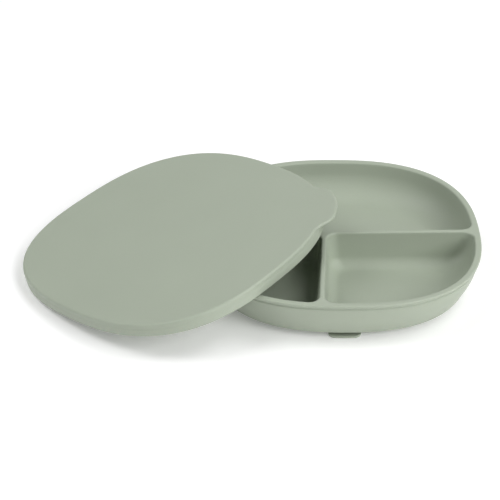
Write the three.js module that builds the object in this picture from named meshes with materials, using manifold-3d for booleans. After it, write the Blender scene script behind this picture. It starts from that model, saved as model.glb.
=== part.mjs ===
// Divided suction bowl for feeding a child, with its press-on lid leaning on it.
// Millimetres, +Z up, standing on z = 0. The origin is on the table, in the middle of the footprint.
import * as THREE from 'three';
import { mergeVertices } from 'three/addons/utils/BufferGeometryUtils.js';
import Module from 'manifold-3d';

const wasm = await Module();
wasm.setup();

// Plan outline: a rounded square (a superellipse), a little narrower towards the back.
const RIM_HALF = 100; // from the middle to the rim, front, back and sides
const RIM_POWER = 2.52; // exponent of the outline at the rim
const LID_POWER = 2.57; // the lid is a touch squarer, which clears the rim at its corners
const BASE_POWER = 2.4; // and at the bowl's rounder foot
const BACK_TAPER = -0.0235; // how much the half width changes over one half depth

// Bowl
const BOWL_HEIGHT = 33;
const FOOT_BOTTOM = 4.5; // height of the bowl's foot over the table
const UNDERSIDE = 5.2; // height of the recess inside the foot, where the suction base is
const RECESS_RADIUS = 79;
const FLOOR = 6.8; // height of the food floor
const RIM_WIDTH = 4.6; // flat width of the rim
const BAND_DROP = 2; // height of the outer lip band, which the lid grips
const BAND_LEDGE = 1; // how far the band stands out over the wall
const GROOVE_DEPTH = 0.3; // groove under the band, where the lid clicks in
const GROOVE_HEIGHT = 1.9;
const WALL_FOOT_INSET = 8.6; // outer wall's inset where the bottom edge starts to round
const WALL_BULGE = 1.2; // how far the outer wall bulges out between its foot and the groove
const BOTTOM_RADIUS = 2.5; // round bottom edge
const RIM_ROUND = 0.8; // rounding of the rim's edges
const WALL_DRAFT = 0.16; // inward run of an inner wall per millimetre of depth
const OUTER_FLOOR_FILLET = 18; // where the outer walls meet the floor, a deep curve to spoon along
const WALL_FLOOR_FILLET = 7.5; // where the dividers meet the floor

// Dividers: one across the full width, one from it to the front rim
const DIVIDER_THICKNESS = 3.4;
const DIVIDER_DRAFT = 0.11;
const CROSS_DIVIDER_Y = -4.45; // middle of the cross divider
const CROSS_DIVIDER_SLOPE = 0.03; // it runs very slightly back towards the right
const FRONT_DIVIDER_X = -10.8; // middle of the front divider, where it leaves the cross divider
const FRONT_DIVIDER_SLOPE = 0.042; // it runs slightly left towards the front rim
const CORNER_RADIUS = 8.5; // plan rounding of each compartment's corners

// Suction base, under the middle of the bowl
const BOSS_RADIUS = 22; // boss on the underside that the base is moulded round
const BOSS_BOTTOM = 1.4;
const SUCTION_RADIUS = 70;
const SUCTION_LIP = 6; // flat sealing lip that touches the table
const SUCTION_TOP = 2.1;
const SUCTION_SKIN = 1.1; // thickness of the thin domed disc
const GAP = 0.3; // clearance between pieces that meet
const RELEASE_TURN = THREE.MathUtils.degToRad(1.2); // the release tab is a touch right of the front
const RELEASE_WIDTH = 22.5;
const RELEASE_REACH = 90; // from the base's middle to the tab's end
const RELEASE_THICKNESS = 1.5;
const RELEASE_CORNER = 4.5;
const RELEASE_ROOT = 2; // from the lip's edge to the tab's root line

// Lid
const LID_OVERHANG = 1.9; // lid skirt outside the bowl's rim
const LID_HEIGHT = 9.5;
const LID_PANEL = 2; // thickness of the top panel
const LID_SKIRT = 1.9; // thickness of the skirt
const LID_EDGE_RADIUS = 2.4; // rounding from the panel into the skirt
const LID_INNER_ROUND = 1;
const TAB_REACH = 10.3; // how far the pull tab stands out from the lid's corner
const TAB_HALF = 24.9; // half its width
const TAB_SHIFT = 0.6; // its middle is a touch to one side of the corner
const TAB_CROWN = 50; // radius of its curved end
const TAB_CORNER = 8.2; // rounding where the end meets the sides
const TAB_FILLET = 6; // hollow curve where the sides leave the lid's outline
const TAB_SPAN = 35; // half the width that the tab takes up with its hollow curves
const TAB_THICKNESS = 3;
const TAB_HINGE_OUT = 0.4; // the tab bends along a straight line, just outside the corner
const TAB_BEARING = Math.PI / 4; // the tab is at a corner of the lid

// The lid off the bowl: its left edge on the table, its right side on the bowl's rim
const LID_PLACE = { x: -117.2, y: -5.45 }; // middle of its skirt's lower edge, from the bowl's middle
const LID_LEAN = THREE.MathUtils.degToRad(11.97);
const LID_LEAN_BEARING = THREE.MathUtils.degToRad(5.6); // the way it rises
const LID_TURN = THREE.MathUtils.degToRad(-44.35);

const OUTLINE_STEPS = 88;
const CUT_STEPS = 56;
const FILLET_STEPS = 6;
const WALL_STEPS = 5;

const silicone = (name, color) => (
  new THREE.MeshStandardMaterial({ name, color, roughness: 0.62, metalness: 0 })
);

// Signed distance from a rounded square of one half width, near its edge. Negative inside.
function outlineDistance(x, y, half, power) {
  const taper = 1 + (BACK_TAPER * y) / half;
  const across = Math.abs(x) / (taper * half);
  const along = Math.abs(y) / half;
  const size = (across ** power + along ** power) ** (1 / power);
  if (size < 1e-6) return -half;
  const slopeX = (across / size) ** (power - 1) / (taper * half);
  const slopeY = (along / size) ** (power - 1) / half;
  return (size - 1) / Math.hypot(slopeX, slopeY);
}

// How far from a centre, along an angle, a shape's distance function reaches zero.
function radiusAlong(distance, centre, angle) {
  let near = 0;
  let far = 3 * RIM_HALF;
  for (let step = 0; step < 44; step += 1) {
    const middle = (near + far) / 2;
    const x = centre.x + middle * Math.cos(angle);
    const y = centre.y + middle * Math.sin(angle);
    if (distance(x, y) < 0) near = middle;
    else far = middle;
  }
  return (near + far) / 2;
}

// A closed ring of points at one height.
function ring(distance, z, steps, centre = { x: 0, y: 0 }) {
  return Array.from({ length: steps }, (_, index) => {
    const angle = (2 * Math.PI * index) / steps;
    const radius = radiusAlong(distance, centre, angle);
    return [centre.x + radius * Math.cos(angle), centre.y + radius * Math.sin(angle), z];
  });
}

const outlineRing = (half, power, z) => ring((x, y) => outlineDistance(x, y, half, power), z, OUTLINE_STEPS);

// Joins rings into one closed body, from a flat cap on the first ring to a flat cap on the last.
function loft(rings) {
  const steps = rings[0].length;
  const points = rings.flat();
  const triangles = [];
  rings.slice(1).forEach((_, level) => {
    for (let index = 0; index < steps; index += 1) {
      const next = (index + 1) % steps;
      const low = level * steps;
      const high = low + steps;
      triangles.push(low + index, low + next, high + next, low + index, high + next, high + index);
    }
  });
  const middle = (points_) => [0, 1, 2].map((axis) => points_.reduce((sum, p) => sum + p[axis], 0) / steps);
  const first = points.push(middle(rings[0])) - 1;
  const last = points.push(middle(rings.at(-1))) - 1;
  const top = (rings.length - 1) * steps;
  for (let index = 0; index < steps; index += 1) {
    const next = (index + 1) % steps;
    triangles.push(first, next, index, last, top + index, top + next);
  }
  const geometry = new THREE.BufferGeometry();
  geometry.setAttribute('position', new THREE.Float32BufferAttribute(points.flat(), 3));
  geometry.setIndex(triangles);
  geometry.computeVertexNormals();
  return geometry;
}

function toSolid(geometry) {
  const bare = geometry.clone();
  bare.deleteAttribute('normal');
  bare.deleteAttribute('uv');
  const merged = mergeVertices(bare, 1e-4);
  const vertProperties = Float32Array.from(merged.attributes.position.array);
  const triVerts = Uint32Array.from(merged.index.array);
  return new wasm.Manifold(new wasm.Mesh({ numProp: 3, vertProperties, triVerts }));
}

function toGeometry(solid) {
  const { vertProperties, triVerts } = solid.getMesh();
  const geometry = new THREE.BufferGeometry();
  geometry.setAttribute('position', new THREE.BufferAttribute(new Float32Array(vertProperties), 3));
  geometry.setIndex(Array.from(triVerts));
  geometry.computeVertexNormals();
  return geometry;
}

function named(name, geometry, material) {
  const mesh = new THREE.Mesh(geometry, material);
  mesh.name = name;
  return mesh;
}

// The outline's exponent changes evenly with height, from the foot to the rim.
const powerAt = (z) => THREE.MathUtils.mapLinear(z, FOOT_BOTTOM, BOWL_HEIGHT, BASE_POWER, RIM_POWER);

// Outer shape of the bowl, closed across its rim.
function bowlOutside() {
  const rings = [];
  const add = (half, z) => rings.push(outlineRing(half, powerAt(z), z));
  const foot = RIM_HALF - WALL_FOOT_INSET;
  for (let step = 0; step <= FILLET_STEPS; step += 1) {
    const turn = (step / FILLET_STEPS) * (Math.PI / 2);
    add(foot - BOTTOM_RADIUS * (1 - Math.sin(turn)), FOOT_BOTTOM + BOTTOM_RADIUS * (1 - Math.cos(turn)));
  }
  const ledge = BOWL_HEIGHT - BAND_DROP;
  const wallTop = RIM_HALF - BAND_LEDGE;
  const wallFoot = FOOT_BOTTOM + BOTTOM_RADIUS;
  const grooveFoot = ledge - GROOVE_HEIGHT;
  for (let step = 1; step <= WALL_STEPS; step += 1) {
    const share = step / WALL_STEPS;
    const half = THREE.MathUtils.lerp(foot, wallTop, share) + WALL_BULGE * Math.sin(Math.PI * share);
    add(half, THREE.MathUtils.lerp(wallFoot, grooveFoot, share));
  }
  add(wallTop - GROOVE_DEPTH, grooveFoot + GROOVE_DEPTH);
  add(wallTop - GROOVE_DEPTH, ledge);
  add(RIM_HALF, ledge);
  add(RIM_HALF, BOWL_HEIGHT - RIM_ROUND);
  add(RIM_HALF - RIM_ROUND, BOWL_HEIGHT);
  return toSolid(loft(rings));
}

// Where a hollow's wall stands at one height: how far in from its place at the rim.
function wallRun(z, draft, fillet) {
  const depth = BOWL_HEIGHT - z;
  const above = z - FLOOR;
  const edge = Math.max(0, RIM_ROUND - depth);
  const lean = draft * depth - edge;
  if (above >= fillet) return lean;
  const drop = (fillet - above) / fillet;
  return lean + fillet * (1 - Math.sqrt(Math.max(0, 1 - drop * drop)));
}

// Two edges joined by an arc of the given radius instead of a sharp corner.
function roundedCorner(first, second, radius) {
  const reach = Math.hypot(Math.max(first + radius, 0), Math.max(second + radius, 0));
  return Math.min(-radius, Math.max(first, second)) + reach;
}

// A food compartment: the space inside the rim, on the inner side of each of its dividers.
function compartment(centre, dividers) {
  const heights = [];
  for (let step = 0; step <= FILLET_STEPS; step += 1) {
    const turn = (step / FILLET_STEPS) * (Math.PI / 2);
    heights.push(FLOOR + OUTER_FLOOR_FILLET * (1 - Math.cos(turn)));
  }
  heights.push(BOWL_HEIGHT - RIM_ROUND, BOWL_HEIGHT, BOWL_HEIGHT + 1);
  const rings = heights.map((z) => {
    const level = Math.min(z, BOWL_HEIGHT);
    const inset = RIM_WIDTH + wallRun(level, WALL_DRAFT, OUTER_FLOOR_FILLET);
    const run = DIVIDER_THICKNESS / 2 + wallRun(level, DIVIDER_DRAFT, WALL_FLOOR_FILLET);
    const distance = (x, y) =>
      dividers.reduce(
        (shape, divider) => roundedCorner(shape, divider(x, y) + run, CORNER_RADIUS),
        outlineDistance(x, y, RIM_HALF, powerAt(level)) + inset,
      );
    return ring(distance, z, CUT_STEPS, centre);
  });
  return toSolid(loft(rings));
}

const behindCross = (x, y) => CROSS_DIVIDER_Y + CROSS_DIVIDER_SLOPE * x - y;
const beforeCross = (x, y) => -behindCross(x, y);
const rightOfFront = (x, y) => FRONT_DIVIDER_X + FRONT_DIVIDER_SLOPE * y - x;
const leftOfFront = (x, y) => -rightOfFront(x, y);

// Upright round bar about the middle, from one height to another.
function roundBar(radius, low, high) {
  const bar = new THREE.CylinderGeometry(radius, radius, high - low, 72);
  bar.rotateX(Math.PI / 2);
  bar.translate(0, 0, (low + high) / 2);
  return toSolid(bar);
}

function bowlBody() {
  const solid = bowlOutside()
    .subtract(roundBar(RECESS_RADIUS, 0, UNDERSIDE))
    .add(roundBar(BOSS_RADIUS, BOSS_BOTTOM, UNDERSIDE + 1))
    .subtract(compartment({ x: 0, y: 44 }, [behindCross]))
    .subtract(compartment({ x: 36, y: -44 }, [beforeCross, rightOfFront]))
    .subtract(compartment({ x: -50, y: -44 }, [beforeCross, leftOfFront]));
  return toGeometry(solid);
}

// Thin domed disc with a flat sealing lip, open in the middle for the bowl's boss.
function suctionBase() {
  const inside = BOSS_RADIUS + GAP;
  const lipInside = SUCTION_RADIUS - SUCTION_LIP;
  const ceiling = SUCTION_TOP - SUCTION_SKIN;
  const profile = [
    [inside, ceiling],
    [lipInside - 4, ceiling],
    [lipInside, 0],
    [SUCTION_RADIUS, 0],
    [SUCTION_RADIUS, 0.6],
    [SUCTION_RADIUS - 1.6, 1.2],
    [lipInside - 2, SUCTION_TOP],
    [inside, SUCTION_TOP],
    [inside, ceiling],
  ];
  const geometry = new THREE.LatheGeometry(profile.map(([r, z]) => new THREE.Vector2(r, z)), 72);
  geometry.rotateX(Math.PI / 2);
  return geometry;
}

// Tongue that lifts the lip to let the air in. Its end follows a circle round the base's middle.
function releaseTab() {
  const half = RELEASE_WIDTH / 2;
  const root = SUCTION_RADIUS + RELEASE_ROOT;
  const endAt = (x) => Math.sqrt(RELEASE_REACH ** 2 - x * x);
  const shape = new THREE.Shape();
  shape.moveTo(-half, -root);
  shape.lineTo(-half, -endAt(half) + RELEASE_CORNER);
  shape.quadraticCurveTo(-half, -endAt(half), -half + RELEASE_CORNER, -endAt(half - RELEASE_CORNER));
  for (let step = 1; step < 6; step += 1) {
    const x = (half - RELEASE_CORNER) * ((2 * step) / 6 - 1);
    shape.lineTo(x, -endAt(x));
  }
  shape.lineTo(half - RELEASE_CORNER, -endAt(half - RELEASE_CORNER));
  shape.quadraticCurveTo(half, -endAt(half), half, -endAt(half) + RELEASE_CORNER);
  shape.lineTo(half, -root);
  return new THREE.ExtrudeGeometry(shape, { depth: RELEASE_THICKNESS, bevelEnabled: false, curveSegments: 4 });
}

// Lid shell: the panel's underside, down the inside of the skirt, and up the outside to the top.
function lidShell() {
  const outer = RIM_HALF + LID_OVERHANG;
  const inner = outer - LID_SKIRT;
  const under = LID_HEIGHT - LID_PANEL;
  const rings = [];
  const add = (half, z) => rings.push(outlineRing(half, LID_POWER, z));
  add(inner - LID_INNER_ROUND, under);
  add(inner, under - LID_INNER_ROUND);
  add(inner, 0);
  add(outer, 0);
  for (let step = 0; step <= FILLET_STEPS - 1; step += 1) {
    const turn = (step / (FILLET_STEPS - 1)) * (Math.PI / 2);
    const half = outer - LID_EDGE_RADIUS * (1 - Math.cos(turn));
    add(half, LID_HEIGHT - LID_EDGE_RADIUS * (1 - Math.sin(turn)));
  }
  return toSolid(loft(rings));
}

// Signed distance from the lid's outline, in the tab's own axes: out along its bearing, and across it.
function lidDistance(out, across) {
  const x = out * Math.cos(TAB_BEARING) - across * Math.sin(TAB_BEARING);
  const y = out * Math.sin(TAB_BEARING) + across * Math.cos(TAB_BEARING);
  return outlineDistance(x, y, RIM_HALF + LID_OVERHANG, LID_POWER);
}

// How far out a shape reaches, at one place across the tab.
const outTo = (distance, across) => radiusAlong(distance, { x: 0, y: across }, 0);
const cornerOut = outTo(lidDistance, 0);

// The lid's outline and the tongue of the tab, joined by hollow curves.
function tabDistance(out, across) {
  const side = across - TAB_SHIFT;
  const crown = Math.hypot(out - (cornerOut + TAB_REACH - TAB_CROWN), side) - TAB_CROWN;
  const tongue = roundedCorner(crown, Math.abs(side) - TAB_HALF, TAB_CORNER);
  return -roundedCorner(-lidDistance(out, across), -tongue, TAB_FILLET);
}

// Flange of the pull tab, from inside the skirt's thickness out to the tab's edge.
function tabFlange() {
  const steps = 48;
  const places = Array.from({ length: steps + 1 }, (_, step) => TAB_SPAN * ((2 * step) / steps - 1));
  const edge = places.map((across) => new THREE.Vector2(outTo(tabDistance, across), across));
  const root = places.map((across) => new THREE.Vector2(outTo(lidDistance, across) - LID_SKIRT / 2, across));
  const shape = new THREE.Shape([...edge, ...root.reverse()]);
  const geometry = new THREE.ExtrudeGeometry(shape, { depth: TAB_THICKNESS, bevelEnabled: false });
  geometry.translate(0, 0, LID_HEIGHT - TAB_THICKNESS);
  return toSolid(geometry);
}

// Everything further out than one straight line across the tab.
function beyondLine(out) {
  const size = 60;
  const box = new THREE.BoxGeometry(size, 2 * size, size);
  box.translate(out + size / 2, 0, 0);
  return toSolid(box);
}

const material = {
  bowl: silicone('bowl_silicone', 0xa5ad9c),
  base: silicone('base_silicone', 0x9da693),
  lid: silicone('lid_silicone', 0xabb3a3),
};

const suction = new THREE.Group();
suction.rotation.z = RELEASE_TURN;
suction.add(named('suction_base', suctionBase(), material.base));
suction.add(named('release_tab', releaseTab(), material.base));

// The tab is made along +X and turned to the lid's corner.
const hingeLine = cornerOut + TAB_HINGE_OUT;
const flange = tabFlange();
const turnToCorner = new THREE.Matrix4().makeRotationZ(TAB_BEARING);
const lidRoot = toGeometry(flange.subtract(beyondLine(hingeLine - GAP))).applyMatrix4(turnToCorner);
const pullTab = toGeometry(flange.intersect(beyondLine(hingeLine))).applyMatrix4(turnToCorner);
const lid = new THREE.Group();
lid.rotation.z = LID_TURN - LID_LEAN_BEARING;
lid.add(named('lid', toGeometry(lidShell().add(toSolid(lidRoot))), material.lid));
lid.add(named('lid_pull_tab', pullTab, material.lid));

const leaning = new THREE.Group();
leaning.rotation.order = 'ZYX';
leaning.rotation.set(0, -LID_LEAN, LID_LEAN_BEARING);
leaning.position.set(LID_PLACE.x, LID_PLACE.y, 0);
leaning.add(lid);
leaning.updateMatrixWorld(true);
leaning.position.z = -new THREE.Box3().setFromObject(leaning, true).min.z;

// The whole object, with its footprint centred on the origin.
const suctionBowl = new THREE.Group();
suctionBowl.add(named('bowl_body', bowlBody(), material.bowl), suction, leaning);
suctionBowl.updateMatrixWorld(true);
const footprint = new THREE.Box3().setFromObject(suctionBowl, true).getCenter(new THREE.Vector3());
suctionBowl.position.set(-footprint.x, -footprint.y, 0);

export default suctionBowl;
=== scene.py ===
"""Divided silicone suction bowl with its lid leaning on it: surfaces, materials, light and camera.

Shapes are worked out in millimetres, round the middle of their own part, and made in metres.
"""

import math

import bmesh
import bpy
import numpy as np
from mathutils import Matrix, Vector
from mathutils.geometry import delaunay_2d_cdt


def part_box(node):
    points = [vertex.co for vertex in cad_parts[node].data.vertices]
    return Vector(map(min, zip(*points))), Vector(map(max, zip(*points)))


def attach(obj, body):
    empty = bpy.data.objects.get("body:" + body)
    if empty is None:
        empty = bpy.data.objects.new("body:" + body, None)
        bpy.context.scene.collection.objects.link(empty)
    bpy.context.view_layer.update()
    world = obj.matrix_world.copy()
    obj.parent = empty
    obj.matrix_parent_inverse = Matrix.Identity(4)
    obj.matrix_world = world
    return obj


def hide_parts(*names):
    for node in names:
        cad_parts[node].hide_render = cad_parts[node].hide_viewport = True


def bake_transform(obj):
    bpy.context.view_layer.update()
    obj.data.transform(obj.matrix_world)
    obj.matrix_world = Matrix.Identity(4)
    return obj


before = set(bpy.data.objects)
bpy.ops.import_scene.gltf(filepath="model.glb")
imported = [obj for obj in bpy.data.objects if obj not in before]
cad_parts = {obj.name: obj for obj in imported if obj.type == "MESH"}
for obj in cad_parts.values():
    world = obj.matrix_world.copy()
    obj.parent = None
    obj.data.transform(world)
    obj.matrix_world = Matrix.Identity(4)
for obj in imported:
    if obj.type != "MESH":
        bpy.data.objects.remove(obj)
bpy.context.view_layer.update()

MM = 0.001


def box_mm(node):
    """Lowest and highest corner of a CAD node, in millimetres."""
    low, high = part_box(node)
    return low / MM, high / MM


# Outline of the bowl and its lid: a rounded square, a little narrower towards the back
bowl_low, bowl_high = box_mm("bowl_body")
BOWL_MIDDLE = (bowl_low + bowl_high) / 2
RIM_HALF = (bowl_high.y - bowl_low.y) / 2
RIM_POWER = 2.52
LID_POWER = 2.57
BASE_POWER = 2.4
BACK_TAPER = -0.0235

# Bowl
BOWL_HEIGHT = bowl_high.z
FOOT_BOTTOM = 4.5
UNDERSIDE = 5.2
RECESS_RADIUS = 79
RECESS_ROUND = 0.6
FLOOR = 6.8
RIM_WIDTH = 4.6
BAND_DROP = 2
BAND_LEDGE = 1
BAND_EDGE_ROUND = 0.35
GROOVE_DEPTH = 0.3
GROOVE_HEIGHT = 1.9
WALL_FOOT_INSET = 8.6
WALL_BULGE = 1.2
BOTTOM_RADIUS = 2.5
RIM_ROUND = 0.8
INNER_ROUND = 1.2  # of the compartments' top edges, which makes the dividers' tops nearly round
EDGE_SUPPORT = 0.2  # flat strip beside a rounded edge, which keeps the shading of flat faces even
WALL_DRAFT = 0.16
OUTER_FLOOR_FILLET = 18
WALL_FLOOR_FILLET = 7.5
FLOOR_DISH = 0.15
REAR_CENTRE = (0, 44)
RIGHT_CENTRE = (36, -44)
LEFT_CENTRE = (-50, -44)

# Dividers
DIVIDER_THICKNESS = 3.4
DIVIDER_DRAFT = 0.11
CROSS_DIVIDER_Y = -4.45
CROSS_DIVIDER_SLOPE = 0.03
FRONT_DIVIDER_X = -10.8
FRONT_DIVIDER_SLOPE = 0.042
CORNER_RADIUS = 8.5

# Boss under the bowl, and the suction base moulded round it
BOSS_RADIUS = 22
BOSS_BOTTOM = bowl_low.z
BOSS_ROUND = 0.8
GATE_RADIUS = 3.2
GATE_DEPTH = 0.35
BASE_TOP = box_mm("suction_base")[1].z
BASE_INSIDE = BOSS_RADIUS + 0.3
BASE_CEILING = 1.0
LIP_RADIUS = 70
LIP_INSIDE = 64
LIP_EDGE = 0.9
LIP_ROUND = 0.3
SHOULDER = 62
RIB_RADII = (30, 40, 50)
RIB_WIDTH = 1.6
RIB_DROP = 0.45
RELEASE_TURN = math.radians(1.2)
RELEASE_HALF = 11.25
RELEASE_REACH = 90
RELEASE_TOP = box_mm("release_tab")[1].z
RELEASE_CORNER = 4.5
RELEASE_FILLET = 3
RELEASE_NECK = 1.1
RELEASE_ROUND = 0.4

# Lid
LID_HALF = RIM_HALF + 1.9
LID_HEIGHT = 9.5
LID_PANEL = 2
LID_SKIRT = 1.9
LID_EDGE_RADIUS = 1.7
LID_STEP = 0.08  # the skirt stands out a little below the rounded edge
LID_STEP_DROP = 0.2
LID_CROWN = 0.6
LID_CROWN_REACH = RIM_HALF - 4
LID_INNER_ROUND = 1.6
LID_FOOT_ROUND = 0.5
BEAD_HEIGHT = 3.6
BEAD_SIZE = 0.45
BEAD_SPREAD = 1.4
TAB_BEARING = math.pi / 4
TAB_REACH = 10.3
TAB_HALF = 24.9
TAB_SHIFT = 0.6
TAB_CROWN = 50
TAB_CORNER = 8.2
TAB_FILLET = 6
TAB_UNDER_ROUND = 0.6
TAB_GUSSET = 1.6

# The lid off the bowl: its left edge on the table, its right side on the bowl's rim
LID_PLACE = Vector((-117.2, -5.45, 0))
LID_LEAN = math.radians(11.97)
LID_LEAN_BEARING = math.radians(5.6)
LID_TURN = math.radians(-44.35)

# Studio
LIGHT_DISTANCE = 1.8  # metres, from the middle of the object
LIGHT_SIZE = 1.1
SKY_STRENGTH = 0.18
TABLE_HALF = 4.0
TABLE_DROP = 0.0002  # keeps the table just clear of the faces that stand on it
TABLE_GLOW = 0.15  # the table shines a little itself, which keeps the shadows on it faint
SAGE = (0.36, 0.405, 0.325)
SHEEN = 0.04

QUARTER = math.pi / 2


# ---------------------------------------------------------------- outlines

def outline_distance(x, y, half, power):
    """Signed distance from a rounded square of one half width, near its edge. Negative inside."""
    taper = 1 + BACK_TAPER * y / half
    across = np.abs(x) / (taper * half)
    along = np.abs(y) / half
    size = np.maximum((across**power + along**power) ** (1 / power), 1e-6)
    slope_x = (across / size) ** (power - 1) / (taper * half)
    slope_y = (along / size) ** (power - 1) / half
    return (size - 1) / np.maximum(np.hypot(slope_x, slope_y), 1e-9)


def rounded_corner(first, second, radius):
    """What two shapes share, with an arc where their edges would meet in a sharp corner."""
    reach = np.hypot(np.maximum(first + radius, 0), np.maximum(second + radius, 0))
    return np.minimum(-radius, np.maximum(first, second)) + reach


def joined(first, second, radius):
    """Two shapes together, with a hollow curve where their edges meet."""
    return -rounded_corner(-first, -second, radius)


def power_at(z):
    """The outline gets squarer evenly with height, from the foot to the rim."""
    return BASE_POWER + (RIM_POWER - BASE_POWER) * (z - FOOT_BOTTOM) / (BOWL_HEIGHT - FOOT_BOTTOM)


def smooth(value, start, end):
    share = np.clip((value - start) / (end - start), 0, 1)
    return share * share * (3 - 2 * share)


def lid_distance(x, y):
    return outline_distance(x, y, LID_HALF, LID_POWER)


def radius_along(distance, angles, centre=(0, 0)):
    """How far out from a centre a shape's edge is, along each angle."""
    near = np.zeros(len(angles))
    far = np.full(len(angles), 3.0 * RIM_HALF)
    for _ in range(40):
        middle = (near + far) / 2
        outside = distance(centre[0] + middle * np.cos(angles), centre[1] + middle * np.sin(angles)) > 0
        far = np.where(outside, middle, far)
        near = np.where(outside, near, middle)
    return (near + far) / 2


def even_angles(distance, count, centre=(0, 0)):
    """Angles that put points at even steps along a shape's edge."""
    angles = np.linspace(0, 2 * math.pi, 8 * count + 1)
    radius = radius_along(distance, angles, centre)
    x, y = radius * np.cos(angles), radius * np.sin(angles)
    run = np.concatenate([[0], np.cumsum(np.hypot(np.diff(x), np.diff(y)))])
    return np.interp(np.linspace(0, run[-1], count + 1)[:-1], run, angles)


CORNER_OUT = radius_along(lid_distance, np.array([TAB_BEARING]))[0]


def tab_distance(x, y):
    """The lid above the step in its skirt, with the tongue of the pull tab at its corner."""
    out = x * math.cos(TAB_BEARING) + y * math.sin(TAB_BEARING)
    across = y * math.cos(TAB_BEARING) - x * math.sin(TAB_BEARING) - TAB_SHIFT
    crown = np.hypot(out - (CORNER_OUT + TAB_REACH - TAB_CROWN), across) - TAB_CROWN
    tongue = rounded_corner(crown, np.abs(across) - TAB_HALF, TAB_CORNER)
    tongue = np.maximum(tongue, CORNER_OUT / 2 - out)
    return joined(lid_distance(x, y) + LID_STEP, tongue, TAB_FILLET)


def base_distance(x, y):
    """The round suction base with its release tab, which points to -Y."""
    round_base = np.hypot(x, y) - LIP_RADIUS
    tongue = rounded_corner(np.hypot(x, y) - RELEASE_REACH, np.abs(x) - RELEASE_HALF, RELEASE_CORNER)
    tongue = np.maximum(tongue, y + LIP_RADIUS / 2)
    return joined(round_base, tongue, RELEASE_FILLET)


# ---------------------------------------------------------------- meshes

class Skin:
    """Vertices and faces of one piece, in millimetres."""

    def __init__(self):
        self.points = []
        self.faces = []

    def ring(self, radius, angles, z, centre=(0, 0)):
        """Adds a closed ring of points and returns their numbers."""
        radius = np.broadcast_to(radius, angles.shape)
        z = np.broadcast_to(z, angles.shape)
        start = len(self.points)
        x = centre[0] + radius * np.cos(angles)
        y = centre[1] + radius * np.sin(angles)
        self.points.extend(zip(x.tolist(), y.tolist(), z.tolist()))
        return list(range(start, len(self.points)))

    def join(self, rings):
        """Skins a run of rings with four-sided faces."""
        for low, high in zip(rings, rings[1:]):
            for near, far in zip(range(len(low)), [*range(1, len(low)), 0]):
                self.faces.append((low[near], low[far], high[far], high[near]))

    def close(self, ring, z, centre=(0, 0)):
        """Closes a ring with a fan round one point."""
        self.points.append((centre[0], centre[1], z))
        tip = len(self.points) - 1
        for near, far in zip(ring, ring[1:] + ring[:1]):
            self.faces.append((near, far, tip))

    def fill_flat(self, outside, holes):
        """Fills the flat area inside one ring and outside the others, which are all convex."""
        loops = [outside, *holes]
        used = [number for loop in loops for number in loop]
        owner = [place for place, loop in enumerate(loops) for _ in loop]
        places = [Vector(self.points[number][:2]) for number in used]
        edges = []
        start = 0
        for loop in loops:
            edges += [(start + step, start + (step + 1) % len(loop)) for step in range(len(loop))]
            start += len(loop)
        found = delaunay_2d_cdt(places, edges, [], 0, 1e-6)
        source = [origin[0] for origin in found[3]]
        for face in found[2]:
            corners = [source[corner] for corner in face]
            owners = {owner[corner] for corner in corners}
            if len(owners) > 1 or owners == {0}:
                self.faces.append(tuple(used[corner] for corner in corners))

    def build(self, name, place):
        """Makes the object, placed by a matrix in millimetres, with its faces pointing out."""
        mesh = bpy.data.meshes.new(name)
        mesh.from_pydata([place @ Vector(point) * MM for point in self.points], [], self.faces)
        work = bmesh.new()
        work.from_mesh(mesh)
        bmesh.ops.recalc_face_normals(work, faces=work.faces)
        for face in work.faces:
            face.smooth = True
        work.to_mesh(mesh)
        work.free()
        piece = bpy.data.objects.new(name, mesh)
        bpy.context.scene.collection.objects.link(piece)
        return piece


def quarter_round(steps):
    """Offsets along a rounded edge of radius 1: (1 - sine, 1 - cosine) of turns up to 90 degrees."""
    turns = np.linspace(0, QUARTER, steps + 1)
    return [(1 - math.sin(turn), 1 - math.cos(turn)) for turn in turns]


# ---------------------------------------------------------------- bowl

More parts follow.
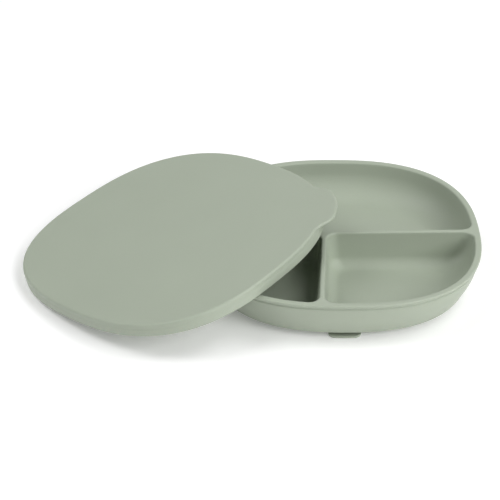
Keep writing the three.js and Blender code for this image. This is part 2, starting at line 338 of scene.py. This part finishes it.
def bowl_outside(skin):
    """The outer skin, from the middle of the underside up to the rim. Returns its last ring."""
    angles = even_angles(lambda x, y: outline_distance(x, y, RIM_HALF, RIM_POWER), 480)

    def outline(half, z):
        edge = radius_along(lambda x, y: outline_distance(x, y, half, power_at(z)), angles)
        return skin.ring(edge, angles, z)

    def circle(radius, z):
        return skin.ring(radius, angles, z)

    gate_top = BOSS_BOTTOM + GATE_DEPTH
    rings = [circle(GATE_RADIUS * 0.5, gate_top)]
    for a, b in quarter_round(4):
        rings.append(circle(GATE_RADIUS - GATE_DEPTH * (1 - b), BOSS_BOTTOM + GATE_DEPTH * a))
    rings += [circle(BOSS_RADIUS * share, BOSS_BOTTOM) for share in (0.3, 0.6, 0.9)]
    for a, b in quarter_round(5):
        rings.append(circle(BOSS_RADIUS - BOSS_ROUND * a, BOSS_BOTTOM + BOSS_ROUND * b))
    for a, b in quarter_round(5):
        rings.append(circle(BOSS_RADIUS + BOSS_ROUND * b, UNDERSIDE - BOSS_ROUND * a))
    rings += [circle(radius, UNDERSIDE) for radius in (30, 50, 68)]
    for a, b in quarter_round(4):
        rings.append(circle(RECESS_RADIUS - RECESS_ROUND * a, UNDERSIDE - RECESS_ROUND * b))
    for a, b in quarter_round(4):
        rings.append(circle(RECESS_RADIUS + RECESS_ROUND * b, FOOT_BOTTOM + RECESS_ROUND * a))

    foot = RIM_HALF - WALL_FOOT_INSET
    wall_foot = FOOT_BOTTOM + BOTTOM_RADIUS
    wall_top = RIM_HALF - BAND_LEDGE
    ledge = BOWL_HEIGHT - BAND_DROP
    groove_foot = ledge - GROOVE_HEIGHT
    groove = wall_top - GROOVE_DEPTH
    for a, b in quarter_round(9):
        rings.append(outline(foot - BOTTOM_RADIUS * a, FOOT_BOTTOM + BOTTOM_RADIUS * b))
    for share in np.linspace(0, 1, 13)[1:]:
        half = foot + share * (wall_top - foot) + WALL_BULGE * math.sin(math.pi * share)
        rings.append(outline(half, wall_foot + share * (groove_foot - wall_foot)))
    for share in np.linspace(0, 1, 6)[1:]:
        half = wall_top - GROOVE_DEPTH * smooth(share, 0, 1)
        rings.append(outline(half, groove_foot + GROOVE_DEPTH * share))
    rings.append(outline(groove, ledge - 0.15))
    rings.append(outline(groove + 0.15, ledge))
    for a, b in quarter_round(4):
        rings.append(outline(RIM_HALF - BAND_EDGE_ROUND * a, ledge + BAND_EDGE_ROUND * b))
    for a, b in quarter_round(7):
        rings.append(outline(RIM_HALF - RIM_ROUND * b, BOWL_HEIGHT - RIM_ROUND * a))
    rings.append(outline(RIM_HALF - RIM_ROUND - EDGE_SUPPORT, BOWL_HEIGHT))
    skin.join(rings)
    skin.close(rings[0], gate_top)
    return rings[-1]


def wall_run(z, draft, fillet):
    """How far in from its place at the rim a hollow's wall stands at one height."""
    lean = draft * (BOWL_HEIGHT - z)
    drop = max(0.0, (fillet - (z - FLOOR)) / fillet)
    return lean + fillet * (1 - math.sqrt(max(0.0, 1 - drop * drop)))


def compartment(skin, centre, dividers):
    """One food compartment, from the flat of the rim down to its floor. Returns its ring at the rim."""
    def shape(z, opened=0.0):
        inset = RIM_WIDTH + wall_run(z, WALL_DRAFT, OUTER_FLOOR_FILLET) - opened
        run = DIVIDER_THICKNESS / 2 + wall_run(z, DIVIDER_DRAFT, WALL_FLOOR_FILLET) - opened

        def distance(x, y):
            space = outline_distance(x, y, RIM_HALF, power_at(z)) + inset
            for divider in dividers:
                space = rounded_corner(space, divider(x, y) + run, CORNER_RADIUS)
            return space

        return distance

    angles = even_angles(shape(BOWL_HEIGHT), 300, centre)

    def level(z, opened=0.0):
        return skin.ring(radius_along(shape(z, opened), angles, centre), angles, z, centre)

    rings = [level(BOWL_HEIGHT, INNER_ROUND + EDGE_SUPPORT)]
    rings += [level(BOWL_HEIGHT - INNER_ROUND * b, INNER_ROUND * a) for a, b in quarter_round(8)]
    wall_foot = FLOOR + OUTER_FLOOR_FILLET
    rings += [level(z) for z in np.linspace(BOWL_HEIGHT - INNER_ROUND, wall_foot, 6)[1:]]
    rings += [level(FLOOR + OUTER_FLOOR_FILLET * a) for a, _ in quarter_round(22)[1:]]
    edge = radius_along(shape(FLOOR), angles, centre)
    for share in (0.97, 0.88, 0.72, 0.5, 0.25):
        rings.append(skin.ring(edge * share, angles, FLOOR - FLOOR_DISH * (1 - share**2), centre))
    skin.join(rings)
    skin.close(rings[-1], FLOOR - FLOOR_DISH, centre)
    return rings[0]


def behind_cross(x, y):
    return CROSS_DIVIDER_Y + CROSS_DIVIDER_SLOPE * x - y


def before_cross(x, y):
    return -behind_cross(x, y)


def right_of_front(x, y):
    return FRONT_DIVIDER_X + FRONT_DIVIDER_SLOPE * y - x


def left_of_front(x, y):
    return -right_of_front(x, y)


def make_bowl():
    skin = Skin()
    rim = bowl_outside(skin)
    holes = [
        compartment(skin, REAR_CENTRE, [behind_cross]),
        compartment(skin, RIGHT_CENTRE, [before_cross, right_of_front]),
        compartment(skin, LEFT_CENTRE, [before_cross, left_of_front]),
    ]
    skin.fill_flat(rim, holes)
    piece = skin.build("divided_bowl", Matrix.Translation((BOWL_MIDDLE.x, BOWL_MIDDLE.y, 0)))
    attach(piece, "bowl")
    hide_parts("bowl_body")
    return piece


# ---------------------------------------------------------------- suction base

def make_suction_base():
    """Thin domed disc with a sealing lip, and the release tab that sticks out from its edge."""
    skin = Skin()
    angles = even_angles(base_distance, 460)
    edge = radius_along(base_distance, angles)
    tabness = smooth(edge, LIP_RADIUS + 0.3, LIP_RADIUS + 5)
    edge_round = LIP_ROUND + (RELEASE_ROUND - LIP_ROUND) * tabness

    def top_height(radius):
        lip = np.interp(radius, (SHOULDER, LIP_RADIUS - 1.6, LIP_RADIUS), (BASE_TOP, 1.2, LIP_EDGE))
        neck = BASE_TOP + (RELEASE_NECK - BASE_TOP) * smooth(radius, SHOULDER, LIP_RADIUS - 1)
        tab = neck + (RELEASE_TOP - RELEASE_NECK) * smooth(radius, LIP_RADIUS + 0.5, LIP_RADIUS + 4)
        return lip + (tab - lip) * tabness

    rings = [skin.ring(BASE_INSIDE, angles, BASE_TOP - 0.3)]
    rings.append(skin.ring(BASE_INSIDE + 0.3, angles, BASE_TOP))
    rings += [skin.ring(radius, angles, BASE_TOP) for radius in (30, 40, 50, 58, SHOULDER)]
    for share in np.linspace(0, 1, 15)[1:]:
        radius = SHOULDER + share * (edge - edge_round - SHOULDER)
        rings.append(skin.ring(radius, angles, top_height(radius)))
    top = top_height(edge - edge_round)
    for a, b in quarter_round(5)[1:]:
        rings.append(skin.ring(edge - edge_round * a, angles, top - edge_round * b))
    rings.append(skin.ring(edge, angles, 0.25))
    rings.append(skin.ring(edge - 0.08, angles, 0.08))
    rings.append(skin.ring(edge - 0.25, angles, 0))
    for share in (0.66, 0.33, 0):
        rings.append(skin.ring(LIP_INSIDE + share * (edge - LIP_INSIDE), angles, 0))
    for share in np.linspace(0, 1, 8)[1:]:
        rings.append(skin.ring(LIP_INSIDE - 4 * share, angles, BASE_CEILING * smooth(share, 0, 1)))
    for rib in sorted(RIB_RADII, reverse=True):
        for share in np.linspace(-1, 1, 9):
            height = BASE_CEILING - RIB_DROP * math.cos(share * QUARTER) ** 2
            rings.append(skin.ring(rib - share * RIB_WIDTH, angles, height))
    rings.append(skin.ring(BASE_INSIDE, angles, BASE_CEILING))
    rings.append(rings[0])
    skin.join(rings)
    middle = Matrix.Translation((BOWL_MIDDLE.x, BOWL_MIDDLE.y, 0))
    place = middle @ Matrix.Rotation(RELEASE_TURN, 4, "Z")
    piece = skin.build("suction_disc_with_release_tab", place)
    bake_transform(piece)
    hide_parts("suction_base", "release_tab")
    return piece


# ---------------------------------------------------------------- lid

def lid_place():
    """The lid's place and lean, with the lowest point of its skirt as high as in the CAD."""
    turn = (
        Matrix.Rotation(LID_LEAN_BEARING, 4, "Z")
        @ Matrix.Rotation(-LID_LEAN, 4, "Y")
        @ Matrix.Rotation(LID_TURN - LID_LEAN_BEARING, 4, "Z")
    )
    angles = np.linspace(0, 2 * math.pi, 720, endpoint=False)
    foot = radius_along(lid_distance, angles)
    heights = turn[2][0] * foot * np.cos(angles) + turn[2][1] * foot * np.sin(angles)
    place = BOWL_MIDDLE + LID_PLACE
    place.z = box_mm("lid")[0].z - heights.min()
    return Matrix.Translation(place) @ turn


def make_lid():
    """The lid with its pull tab, as one moulding."""
    skin = Skin()
    angles = even_angles(tab_distance, 620)

    def at(distance, inset):
        return radius_along(lambda x, y: distance(x, y) + inset, angles)

    def crown_at(radius):
        return LID_CROWN * np.maximum(0, 1 - (radius / LID_CROWN_REACH) ** 2)

    flat_edge = at(tab_distance, LID_EDGE_RADIUS + EDGE_SUPPORT)
    rings = []
    for share in (0.05, 0.12, 0.2, 0.3, 0.4, 0.5, 0.6, 0.7, 0.79, 0.87, 0.93, 0.97, 1):
        flat_radius = share * flat_edge
        rings.append(skin.ring(flat_radius, angles, LID_HEIGHT + crown_at(flat_radius)))
    for a, b in quarter_round(8):
        radius = at(tab_distance, LID_EDGE_RADIUS * a)
        rings.append(skin.ring(radius, angles, LID_HEIGHT - LID_EDGE_RADIUS * b))

    tab_edge = at(tab_distance, 0)
    skirt = at(lid_distance, LID_STEP)
    tabness = smooth(tab_edge - skirt, 0.1, 3)
    shoulder = LID_HEIGHT - LID_EDGE_RADIUS
    for a, b in quarter_round(4)[1:]:
        radius = tab_edge - tabness * TAB_UNDER_ROUND * b
        rings.append(skin.ring(radius, angles, shoulder - TAB_UNDER_ROUND * (1 - a)))
    under_edge = tab_edge - tabness * TAB_UNDER_ROUND
    under_z = shoulder - TAB_UNDER_ROUND
    step_z = under_z - TAB_GUSSET
    near_skirt = skirt + 0.12 * (under_edge - skirt)
    for share in np.linspace(0, 1, 11)[1:]:
        rest = 1 - share
        bend = (rest**3, 3 * rest**2 * share, 3 * rest * share**2, share**3)
        radius = bend[0] * under_edge + bend[1] * near_skirt + (bend[2] + bend[3]) * skirt
        z = under_z - TAB_GUSSET * (0.4 * bend[2] + bend[3])
        rings.append(skin.ring(radius, angles, z))
    for share in (0.5, 1):
        radius = at(lid_distance, LID_STEP * (1 - share))
        rings.append(skin.ring(radius, angles, step_z - LID_STEP_DROP * share**2))
    for z in np.linspace(step_z - LID_STEP_DROP, LID_FOOT_ROUND, 4)[1:]:
        rings.append(skin.ring(at(lid_distance, 0), angles, z))
    for a, b in quarter_round(4)[1:]:
        rings.append(skin.ring(at(lid_distance, LID_FOOT_ROUND * b), angles, LID_FOOT_ROUND * a))
    for a, b in quarter_round(4):
        radius = at(lid_distance, LID_SKIRT - LID_FOOT_ROUND * a)
        rings.append(skin.ring(radius, angles, LID_FOOT_ROUND * b))
    for share in np.linspace(-1, 1, 11):
        bead = BEAD_SIZE * math.cos(share * QUARTER) ** 2
        radius = at(lid_distance, LID_SKIRT + bead)
        rings.append(skin.ring(radius, angles, BEAD_HEIGHT + BEAD_SPREAD * share))
    under = LID_HEIGHT - LID_PANEL
    for a, b in quarter_round(6):
        radius = at(lid_distance, LID_SKIRT + LID_INNER_ROUND * b)
        rings.append(skin.ring(radius, angles, under - LID_INNER_ROUND * a))
    panel_edge = at(lid_distance, LID_SKIRT + LID_INNER_ROUND + EDGE_SUPPORT)
    for share in (1, 0.95, 0.88, 0.78, 0.66, 0.52, 0.36, 0.2, 0.08):
        panel_radius = share * panel_edge
        rings.append(skin.ring(panel_radius, angles, under + crown_at(panel_radius)))
    skin.join(rings)
    skin.close(rings[0], LID_HEIGHT + LID_CROWN)
    skin.close(rings[-1], under + LID_CROWN)

    place = lid_place()
    piece = skin.build("lid_with_pull_tab", place)
    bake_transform(piece)
    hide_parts("lid", "lid_pull_tab")
    return piece


# ---------------------------------------------------------------- materials

def silicone(name, roughness):
    """Matte sage silicone: faint cloudy colour, fine moulded grain, slightly translucent body."""
    material = bpy.data.materials.new(name)
    material.use_nodes = True
    nodes, links = material.node_tree.nodes, material.node_tree.links
    shader = nodes["Principled BSDF"]
    shader.inputs["IOR"].default_value = 1.45
    shader.inputs["Sheen Weight"].default_value = SHEEN
    shader.inputs["Sheen Roughness"].default_value = 0.45
    shader.inputs["Subsurface Weight"].default_value = 0.08
    shader.inputs["Subsurface Radius"].default_value = (1.0, 1.1, 0.8)
    shader.inputs["Subsurface Scale"].default_value = 0.002

    place = nodes.new("ShaderNodeTexCoord")

    def noise(scale, detail):
        node = nodes.new("ShaderNodeTexNoise")
        node.inputs["Scale"].default_value = scale
        node.inputs["Detail"].default_value = detail
        links.new(place.outputs["Object"], node.inputs["Vector"])
        return node

    def shade(amount):
        return [channel * amount for channel in SAGE] + [1]

    clouds = noise(28, 4)
    cloud_colour = nodes.new("ShaderNodeMix")
    cloud_colour.data_type = "RGBA"
    cloud_colour.inputs["A"].default_value = shade(0.975)
    cloud_colour.inputs["B"].default_value = shade(1.025)
    links.new(clouds.outputs["Fac"], cloud_colour.inputs["Factor"])

    specks = noise(1400, 2)
    speck_range = nodes.new("ShaderNodeMapRange")
    speck_range.inputs["From Min"].default_value = 0.35
    speck_range.inputs["From Max"].default_value = 0.65
    speck_range.inputs["To Min"].default_value = 0.985
    speck_range.inputs["To Max"].default_value = 1.015
    links.new(specks.outputs["Fac"], speck_range.inputs["Value"])
    speckled = nodes.new("ShaderNodeVectorMath")
    speckled.operation = "SCALE"
    links.new(cloud_colour.outputs["Result"], speckled.inputs[0])
    links.new(speck_range.outputs["Result"], speckled.inputs["Scale"])
    links.new(speckled.outputs["Vector"], shader.inputs["Base Color"])

    dullness = nodes.new("ShaderNodeMapRange")
    dullness.inputs["To Min"].default_value = roughness - 0.06
    dullness.inputs["To Max"].default_value = roughness + 0.06
    links.new(clouds.outputs["Fac"], dullness.inputs["Value"])
    links.new(dullness.outputs["Result"], shader.inputs["Roughness"])

    grain = nodes.new("ShaderNodeBump")
    grain.inputs["Strength"].default_value = 0.25
    grain.inputs["Distance"].default_value = 0.00004
    links.new(specks.outputs["Fac"], grain.inputs["Height"])
    links.new(grain.outputs["Normal"], shader.inputs["Normal"])
    return material


def dress(piece, material):
    piece.data.materials.clear()
    piece.data.materials.append(material)


# ---------------------------------------------------------------- studio

def make_floor():
    mesh = bpy.data.meshes.new("studio_floor")
    signs = [(-1, -1), (1, -1), (1, 1), (-1, 1)]
    mesh.from_pydata([(x * TABLE_HALF, y * TABLE_HALF, 0) for x, y in signs], [], [(0, 1, 2, 3)])
    floor = bpy.data.objects.new("studio_floor", mesh)
    floor.location.z = -TABLE_DROP
    bpy.context.scene.collection.objects.link(floor)
    material = bpy.data.materials.new("studio_floor")
    material.use_nodes = True
    shader = material.node_tree.nodes["Principled BSDF"]
    shader.inputs["Base Color"].default_value = (0.93, 0.93, 0.93, 1)
    shader.inputs["Roughness"].default_value = 0.9
    shader.inputs["Emission Color"].default_value = (1, 1, 1, 1)
    shader.inputs["Emission Strength"].default_value = TABLE_GLOW
    mesh.materials.append(material)


def area_light(name, energy, bearing, elevation):
    """A round soft light that points at the object. Its bearing is counted anticlockwise from +X."""
    data = bpy.data.lights.new(name, "AREA")
    data.shape = "DISK"
    data.size = LIGHT_SIZE
    data.energy = energy
    light = bpy.data.objects.new(name, data)
    turn = Matrix.Rotation(math.radians(bearing), 3, "Z")
    lift = Matrix.Rotation(-math.radians(elevation), 3, "Y")
    outwards = turn @ lift @ Vector((1, 0, 0))
    light.location = Vector((0, 0, 0.02)) + LIGHT_DISTANCE * outwards
    light.rotation_euler = outwards.to_track_quat("Z", "Y").to_euler()
    bpy.context.scene.collection.objects.link(light)


def make_light():
    world = bpy.data.worlds.new("studio")
    bpy.context.scene.world = world
    world.use_nodes = True
    sky = world.node_tree.nodes["Background"]
    sky.inputs["Color"].default_value = (1, 1, 1, 1)
    sky.inputs["Strength"].default_value = SKY_STRENGTH
    area_light("key", 20.0, -41, 30)
    area_light("right", 11.3, 0, 57)
    area_light("back", 2.7, 90, 35)
    area_light("left_high", 11.3, 180, 55)
    area_light("left_low", 4.3, 180, 28)


def make_camera():
    """The photograph's viewpoint: a long lens, 32 degrees above the table, from the front."""
    distance = 1.3261
    elevation = math.radians(32.28)
    bearing = math.radians(0.531)
    target = Vector((BOWL_MIDDLE.x - 64.21, BOWL_MIDDLE.y + 22.51, 0)) * MM
    ahead = Vector((0, math.cos(elevation), -math.sin(elevation)))
    forward = Matrix.Rotation(bearing, 3, "Z") @ ahead
    data = bpy.data.cameras.new("camera")
    data.lens = 129.6
    data.clip_start = 0.05
    data.clip_end = 30
    camera = bpy.data.objects.new("camera", data)
    camera.location = target - distance * forward
    camera.rotation_euler = forward.to_track_quat("-Z", "Y").to_euler()
    bpy.context.scene.collection.objects.link(camera)
    bpy.context.scene.camera = camera


dress(make_bowl(), silicone("bowl_silicone", 0.5))
dress(make_suction_base(), silicone("base_silicone", 0.5))
dress(make_lid(), silicone("lid_silicone", 0.52))
make_floor()
make_light()
make_camera()
bpy.context.scene.view_settings.view_transform = "Standard"
